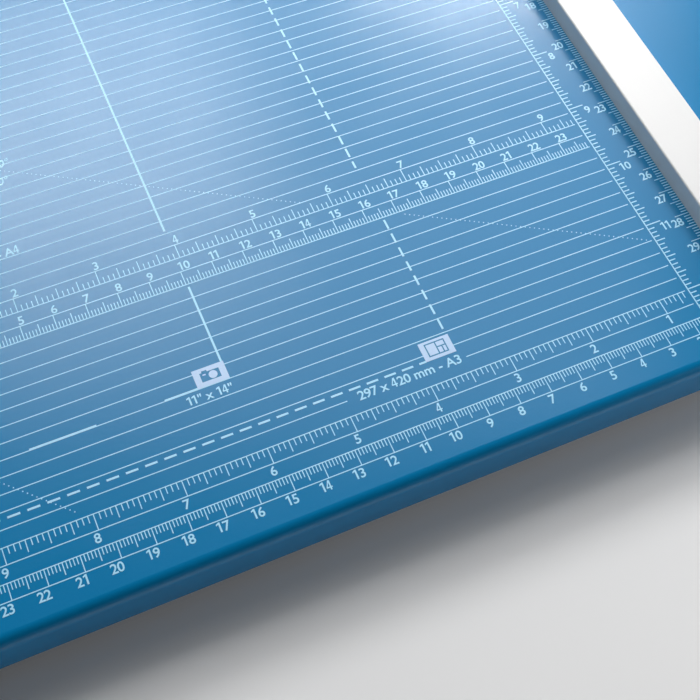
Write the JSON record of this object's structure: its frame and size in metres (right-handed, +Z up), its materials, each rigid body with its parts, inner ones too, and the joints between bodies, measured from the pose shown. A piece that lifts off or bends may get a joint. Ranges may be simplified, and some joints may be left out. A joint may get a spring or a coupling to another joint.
{
  "type": "rotary paper trimmer",
  "caption": "Rotary paper trimmer: a sliding head carries a round blade along a rail over a printed steel table, with a sprung clear clamp and side stops.",
  "frame": {"origin": "under the middle of the table, on the surface that the feet stand on", "axes": "+X along the cutting line, +Y from the operator's edge towards the rail, +Z up"},
  "size_m": [0.69, 0.36, 0.0936],
  "materials": {
    "table_paint": "satin blue enamel",
    "support_profile": "mill finish",
    "blade_steel": "ground",
    "zinc_steel": "zinc plated",
    "bright_steel": "bright drawn",
    "galvanised_sheet": "galvanised",
    "stop_plastic": "fine texture, off-white",
    "housing_plastic": "fine texture, off-white",
    "rail_aluminium": "satin anodised",
    "foot_rubber": "matte black",
    "grip_rubber": "soft-touch blue",
    "clear_plastic": "clear",
    "slide_plastic": "moulded dark grey",
    "liner_plastic": "natural",
    "roller_rubber": "matte"
  },
  "bodies": {
    "base": {"base_tray": "table_paint", "blade_support": "support_profile", "fixed_blade": "blade_steel", "fixed_blade_screws": "zinc_steel", "stiffener_left": "galvanised_sheet", "stiffener_centre": "galvanised_sheet", "stiffener_right": "galvanised_sheet", "side_stop_left": "stop_plastic", "side_stop_right": "stop_plastic", "side_stop_screws": "zinc_steel", "foot_front_left": "foot_rubber", "foot_front_middle": "foot_rubber", "foot_front_right": "foot_rubber", "foot_rear_left": "foot_rubber", "foot_rear_middle": "foot_rubber", "foot_rear_right": "foot_rubber", "foot_studs": "zinc_steel", "end_bracket_left": "housing_plastic", "end_bracket_right": "housing_plastic", "bracket_screws": "zinc_steel", "rail": "rail_aluminium", "rail_screws": "zinc_steel", "bumper_left": "foot_rubber", "bumper_right": "foot_rubber", "spring_cups": "zinc_steel", "clamp_screws": "zinc_steel", "clamp_spring_left_front": "bright_steel", "clamp_spring_left_rear": "bright_steel", "clamp_spring_right_front": "bright_steel", "clamp_spring_right_rear": "bright_steel"},
    "clamp": {"clamp_strip": "clear_plastic"},
    "head": {"head_shell_front": "housing_plastic", "head_shell_rear": "housing_plastic", "head_grip": "grip_rubber", "head_carriage": "slide_plastic", "glide_liner_top": "liner_plastic", "glide_liner_front": "liner_plastic", "glide_liner_rear": "liner_plastic", "head_screws": "zinc_steel", "blade_axle": "bright_steel", "blade_spring": "bright_steel", "blade_nut": "zinc_steel", "presser_fork": "zinc_steel", "presser_axle": "bright_steel"},
    "cutting_wheel": {"round_blade": "blade_steel", "blade_hub": "slide_plastic"},
    "presser": {"presser_roller": "roller_rubber"}
  },
  "joints": [
    {"name": "clamp_press", "type": "slide", "parent": "base", "child": "clamp", "axis": [0, 0, -1], "range_m": [0, 0.0022], "stiffness_N_per_m": 800, "springref_m": -0.004, "deforming": ["clamp_spring_left_front", "clamp_spring_left_rear", "clamp_spring_right_front", "clamp_spring_right_rear"]},
    {"name": "head_slide", "type": "slide", "parent": "base", "child": "head", "axis": [-1, 0, 0], "range_m": [0, 0.528]},
    {"name": "blade_spin", "type": "hinge", "parent": "head", "child": "cutting_wheel", "pos_m": [0.264, 0.151, 0.041], "axis": [0, 1, 0], "continuous": true},
    {"name": "presser_spin", "type": "hinge", "parent": "head", "child": "presser", "pos_m": [0.264, 0.099, 0.032], "axis": [0, 1, 0], "continuous": true}
  ],
  "couplings": [
    {"joint": "blade_spin", "follows": "head_slide", "rad_per_m": -47.619},
    {"joint": "presser_spin", "follows": "head_slide", "rad_per_m": -142.86}
  ]
}
